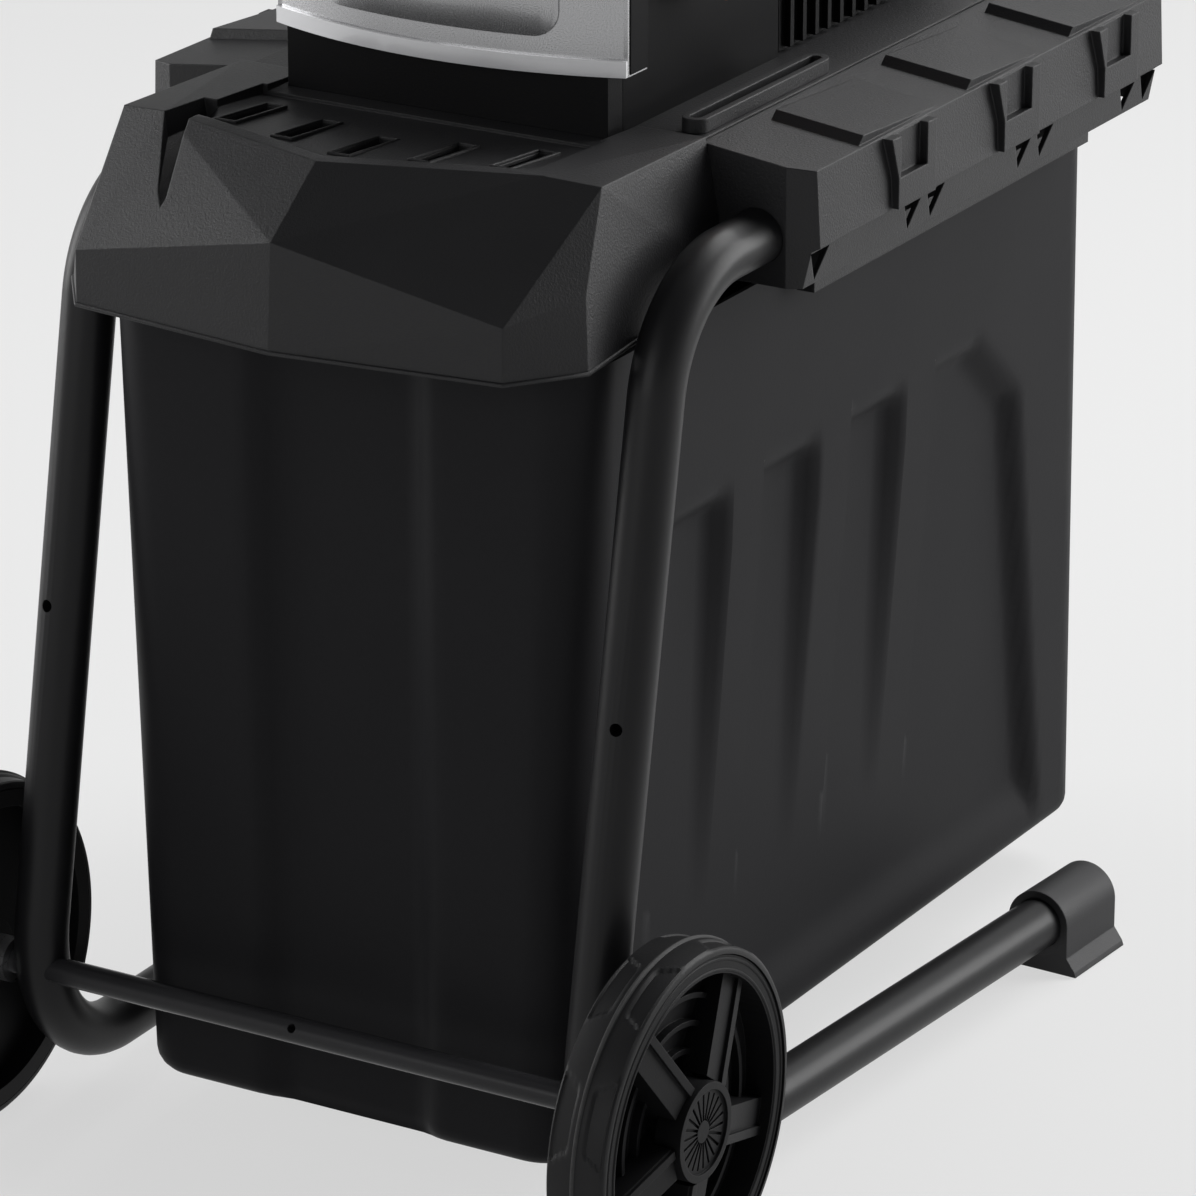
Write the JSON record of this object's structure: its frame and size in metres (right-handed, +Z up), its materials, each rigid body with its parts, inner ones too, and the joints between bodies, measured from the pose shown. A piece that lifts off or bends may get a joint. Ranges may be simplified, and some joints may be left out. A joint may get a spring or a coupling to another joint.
{
  "type": "garden shredder",
  "caption": "Wheeled roller garden shredder: faceted base on bent tube legs, hanging collection box, geared cutting drum, feed hopper, motor under a ribbed cover.",
  "frame": {"origin": "on the floor, under the middle of the bounding box", "axes": "+Z up, -Y to the front with the wheels, +Y to the rear where the box pulls out, +X to the side with the adjusting knob"},
  "size_m": [0.49, 0.764, 0.972],
  "materials": {
    "black_plastic": "fine grain",
    "box_plastic": "satin",
    "tube_paint": "satin powder coat",
    "foot_plastic": "matte",
    "axle_steel": "semi-gloss",
    "steel": "brushed",
    "cutter_steel": "ground",
    "casting": "as cast",
    "wheel_plastic": "matte",
    "tyre": "moulded",
    "silver_gloss": "gloss",
    "trim_gloss": "gloss",
    "flap_rubber": "matte",
    "stator_core": "lacquered",
    "capacitor_case": "gloss",
    "green_plastic": "gloss",
    "red_plastic": "gloss",
    "orange_plastic": "gloss"
  },
  "bodies": {
    "chassis": {"frame_tube_left": "tube_paint", "frame_tube_right": "tube_paint", "foot_left": "foot_plastic", "foot_right": "foot_plastic", "axle": "axle_steel", "axle_washers": "steel", "axle_clips": "steel", "base_housing": "black_plastic", "side_rail_left": "black_plastic", "side_rail_right": "black_plastic", "rail_slot_frame": "black_plastic", "box_runners": "black_plastic", "safety_switch": "black_plastic", "discharge_chute": "black_plastic", "neck_housing": "black_plastic", "head_panel_left": "silver_gloss", "head_panel_right": "silver_gloss", "head_panel_rear": "black_plastic", "front_fairing": "silver_gloss", "fairing_trim": "trim_gloss", "motor_cover": "black_plastic", "hopper": "black_plastic", "hopper_rim": "black_plastic", "splash_flaps": "flap_rubber", "cutter_housing": "casting", "drum_bearings": "steel", "gearbox_case": "casting", "gearbox_cover": "casting", "idler_pin": "steel", "stator": "stator_core", "motor_shields": "casting", "motor_bearings": "steel", "capacitor": "capacitor_case", "control_panel": "black_plastic", "mains_inlet": "black_plastic", "rail_screws": "steel"},
    "wheel_left": {"wheel_rim_left": "wheel_plastic", "tyre_left": "tyre", "hub_cap_left": "wheel_plastic"},
    "wheel_right": {"wheel_rim_right": "wheel_plastic", "tyre_right": "tyre", "hub_cap_right": "wheel_plastic"},
    "box": {"collection_box": "box_plastic", "box_handle": "black_plastic"},
    "latch": {"box_latch": "red_plastic"},
    "drum": {"cutting_drum": "cutter_steel", "drum_shaft": "steel", "drum_gear": "steel"},
    "idler": {"idler_gear": "steel"},
    "rotor": {"rotor": "steel", "motor_shaft": "steel", "cooling_fan": "black_plastic"},
    "plate": {"counter_plate": "steel"},
    "knob": {"adjusting_screw": "steel", "adjusting_knob": "orange_plastic"},
    "on_button": {"on_button": "green_plastic"},
    "off_button": {"off_button": "red_plastic"},
    "reset_button": {"reset_button": "black_plastic"},
    "selector": {"direction_selector": "black_plastic"}
  },
  "joints": [
    {"name": "wheel_left_spin", "type": "hinge", "parent": "chassis", "child": "wheel_left", "pos_m": [-0.223, -0.282, 0.1], "axis": [1, 0, 0], "continuous": true},
    {"name": "wheel_right_spin", "type": "hinge", "parent": "chassis", "child": "wheel_right", "pos_m": [0.223, -0.282, 0.1], "axis": [1, 0, 0], "continuous": true},
    {"name": "box_slide", "type": "slide", "parent": "chassis", "child": "box", "axis": [0, 1, 0], "range_m": [0, 0.26]},
    {"name": "latch_slide", "type": "slide", "parent": "box", "child": "latch", "axis": [0, 0, 1], "range_m": [0, 0.02]},
    {"name": "drum_spin", "type": "hinge", "parent": "chassis", "child": "drum", "pos_m": [-0.01, -0.044, 0.655], "axis": [0, 1, 0], "continuous": true},
    {"name": "idler_spin", "type": "hinge", "parent": "chassis", "child": "idler", "pos_m": [0.01625, 0.038, 0.70047], "axis": [0, 1, 0], "continuous": true},
    {"name": "rotor_spin", "type": "hinge", "parent": "chassis", "child": "rotor", "pos_m": [0, 0.118, 0.66174], "axis": [0, 1, 0], "continuous": true},
    {"name": "knob_turn", "type": "hinge", "parent": "chassis", "child": "knob", "pos_m": [0.08, -0.044, 0.655], "axis": [1, 0, 0], "range_deg": [0, 720]},
    {"name": "plate_slide", "type": "slide", "parent": "chassis", "child": "plate", "axis": [-1, 0, 0], "range_m": [0, 0.00299]},
    {"name": "on_button_press", "type": "slide", "parent": "chassis", "child": "on_button", "axis": [0, 1, 0], "range_m": [0, 0.004], "stiffness_N_per_m": 300},
    {"name": "off_button_press", "type": "slide", "parent": "chassis", "child": "off_button", "axis": [0, 1, 0], "range_m": [0, 0.004], "stiffness_N_per_m": 300},
    {"name": "reset_button_press", "type": "slide", "parent": "chassis", "child": "reset_button", "axis": [0, 1, 0], "range_m": [0, 0.004], "stiffness_N_per_m": 300},
    {"name": "selector_turn", "type": "hinge", "parent": "chassis", "child": "selector", "pos_m": [0.015, -0.152, 0.722], "axis": [0, 1, 0], "range_deg": [-45, 45]}
  ],
  "couplings": [
    {"joint": "idler_spin", "follows": "drum_spin", "ratio": -6},
    {"joint": "rotor_spin", "follows": "drum_spin", "ratio": 36},
    {"joint": "knob_turn", "follows": "plate_slide", "rad_per_m": 4188.8}
  ]
}
